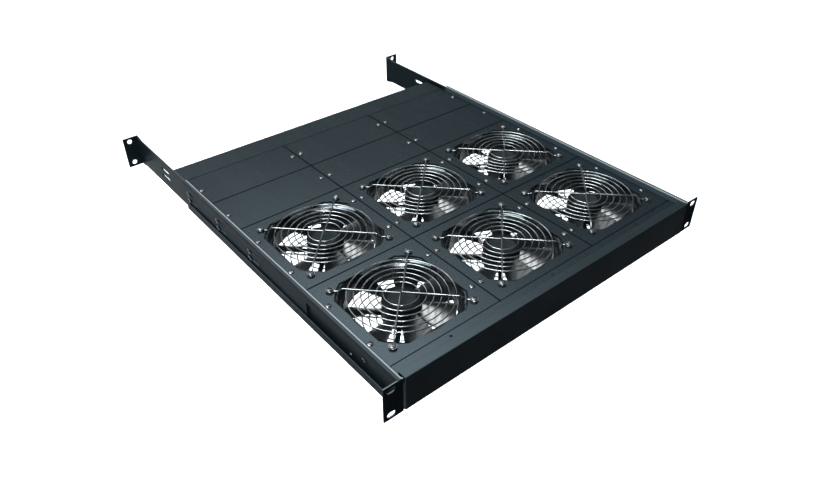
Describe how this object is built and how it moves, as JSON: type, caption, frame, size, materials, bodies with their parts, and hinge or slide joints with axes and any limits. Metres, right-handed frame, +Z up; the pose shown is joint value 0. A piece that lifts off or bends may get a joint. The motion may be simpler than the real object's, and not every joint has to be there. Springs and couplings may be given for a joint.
{
  "type": "rack fan tray",
  "caption": "Flat rack-mount cooling tray: folded steel deck with axial fans under wire guards, blank plates, slotted front ears and sliding rear brackets.",
  "frame": {"origin": "centre of the four front ear slots, on the ears' rear faces, which seat on the rack posts", "axes": "+X to the right seen from the front, +Y from the front to the rear, +Z up"},
  "size_m": [0.4826, 0.59, 0.0436],
  "materials": {
    "black_powder_coat": "fine-textured black powder coat",
    "slate_powder_coat": "fine-textured dark slate powder coat",
    "guard_wire": "satin dark plated wire",
    "cast_frame": "dark painted die casting, inlet flare worn brighter",
    "impeller_plastic": "moulded black plastic",
    "stator_iron": "laminated motor iron",
    "black_screws": "blackened screws",
    "inlet_plastic": "moulded black plastic"
  },
  "bodies": {
    "tray": {"clamp_screws": "black_screws", "fascia": "black_powder_coat", "front_left_bottom_guard": "guard_wire", "front_left_fan_housing": "cast_frame", "front_left_fan_plate": "slate_powder_coat", "front_left_stator": "stator_iron", "front_left_top_guard": "guard_wire", "front_member": "slate_powder_coat", "front_middle_bottom_guard": "guard_wire", "front_middle_fan_housing": "cast_frame", "front_middle_fan_plate": "slate_powder_coat", "front_middle_stator": "stator_iron", "front_middle_top_guard": "guard_wire", "front_right_bottom_guard": "guard_wire", "front_right_fan_housing": "cast_frame", "front_right_fan_plate": "slate_powder_coat", "front_right_stator": "stator_iron", "front_right_top_guard": "guard_wire", "guard_bolts": "black_screws", "guard_nuts": "black_screws", "left_inner_bar": "slate_powder_coat", "left_rail": "slate_powder_coat", "left_side_member": "slate_powder_coat", "plate_screws": "black_screws", "power_inlet": "inlet_plastic", "rail_screws": "black_screws", "rear_left_blank_plate": "slate_powder_coat", "rear_member": "slate_powder_coat", "rear_middle_blank_plate": "slate_powder_coat", "rear_right_blank_plate": "slate_powder_coat", "right_inner_bar": "slate_powder_coat", "right_rail": "slate_powder_coat", "right_side_member": "slate_powder_coat", "second_left_bottom_guard": "guard_wire", "second_left_fan_housing": "cast_frame", "second_left_fan_plate": "slate_powder_coat", "second_left_stator": "stator_iron", "second_left_top_guard": "guard_wire", "second_middle_bottom_guard": "guard_wire", "second_middle_fan_housing": "cast_frame", "second_middle_fan_plate": "slate_powder_coat", "second_middle_stator": "stator_iron", "second_middle_top_guard": "guard_wire", "second_right_bottom_guard": "guard_wire", "second_right_fan_housing": "cast_frame", "second_right_fan_plate": "slate_powder_coat", "second_right_stator": "stator_iron", "second_right_top_guard": "guard_wire", "third_left_blank_plate": "slate_powder_coat", "third_middle_blank_plate": "slate_powder_coat", "third_right_blank_plate": "slate_powder_coat"},
    "front_left_rotor": {"front_left_impeller": "impeller_plastic"},
    "front_middle_rotor": {"front_middle_impeller": "impeller_plastic"},
    "front_right_rotor": {"front_right_impeller": "impeller_plastic"},
    "second_left_rotor": {"second_left_impeller": "impeller_plastic"},
    "second_middle_rotor": {"second_middle_impeller": "impeller_plastic"},
    "second_right_rotor": {"second_right_impeller": "impeller_plastic"},
    "left_arm": {"left_rear_bracket": "slate_powder_coat"},
    "right_arm": {"right_rear_bracket": "slate_powder_coat"}
  },
  "joints": [
    {"name": "front_left_spin", "type": "hinge", "parent": "tray", "child": "front_left_rotor", "pos_m": [-0.1455, 0.092, 0.001], "axis": [0, 0, 1], "continuous": true},
    {"name": "front_middle_spin", "type": "hinge", "parent": "tray", "child": "front_middle_rotor", "pos_m": [0, 0.092, 0.001], "axis": [0, 0, 1], "continuous": true},
    {"name": "front_right_spin", "type": "hinge", "parent": "tray", "child": "front_right_rotor", "pos_m": [0.1455, 0.092, 0.001], "axis": [0, 0, 1], "continuous": true},
    {"name": "second_left_spin", "type": "hinge", "parent": "tray", "child": "second_left_rotor", "pos_m": [-0.1455, 0.232, 0.001], "axis": [0, 0, 1], "continuous": true},
    {"name": "second_middle_spin", "type": "hinge", "parent": "tray", "child": "second_middle_rotor", "pos_m": [0, 0.232, 0.001], "axis": [0, 0, 1], "continuous": true},
    {"name": "second_right_spin", "type": "hinge", "parent": "tray", "child": "second_right_rotor", "pos_m": [0.1455, 0.232, 0.001], "axis": [0, 0, 1], "continuous": true},
    {"name": "left_arm_slide", "type": "slide", "parent": "tray", "child": "left_arm", "axis": [0, 1, 0], "range_m": [-0.003, 0.017]},
    {"name": "right_arm_slide", "type": "slide", "parent": "tray", "child": "right_arm", "axis": [0, 1, 0], "range_m": [-0.003, 0.017]}
  ]
}
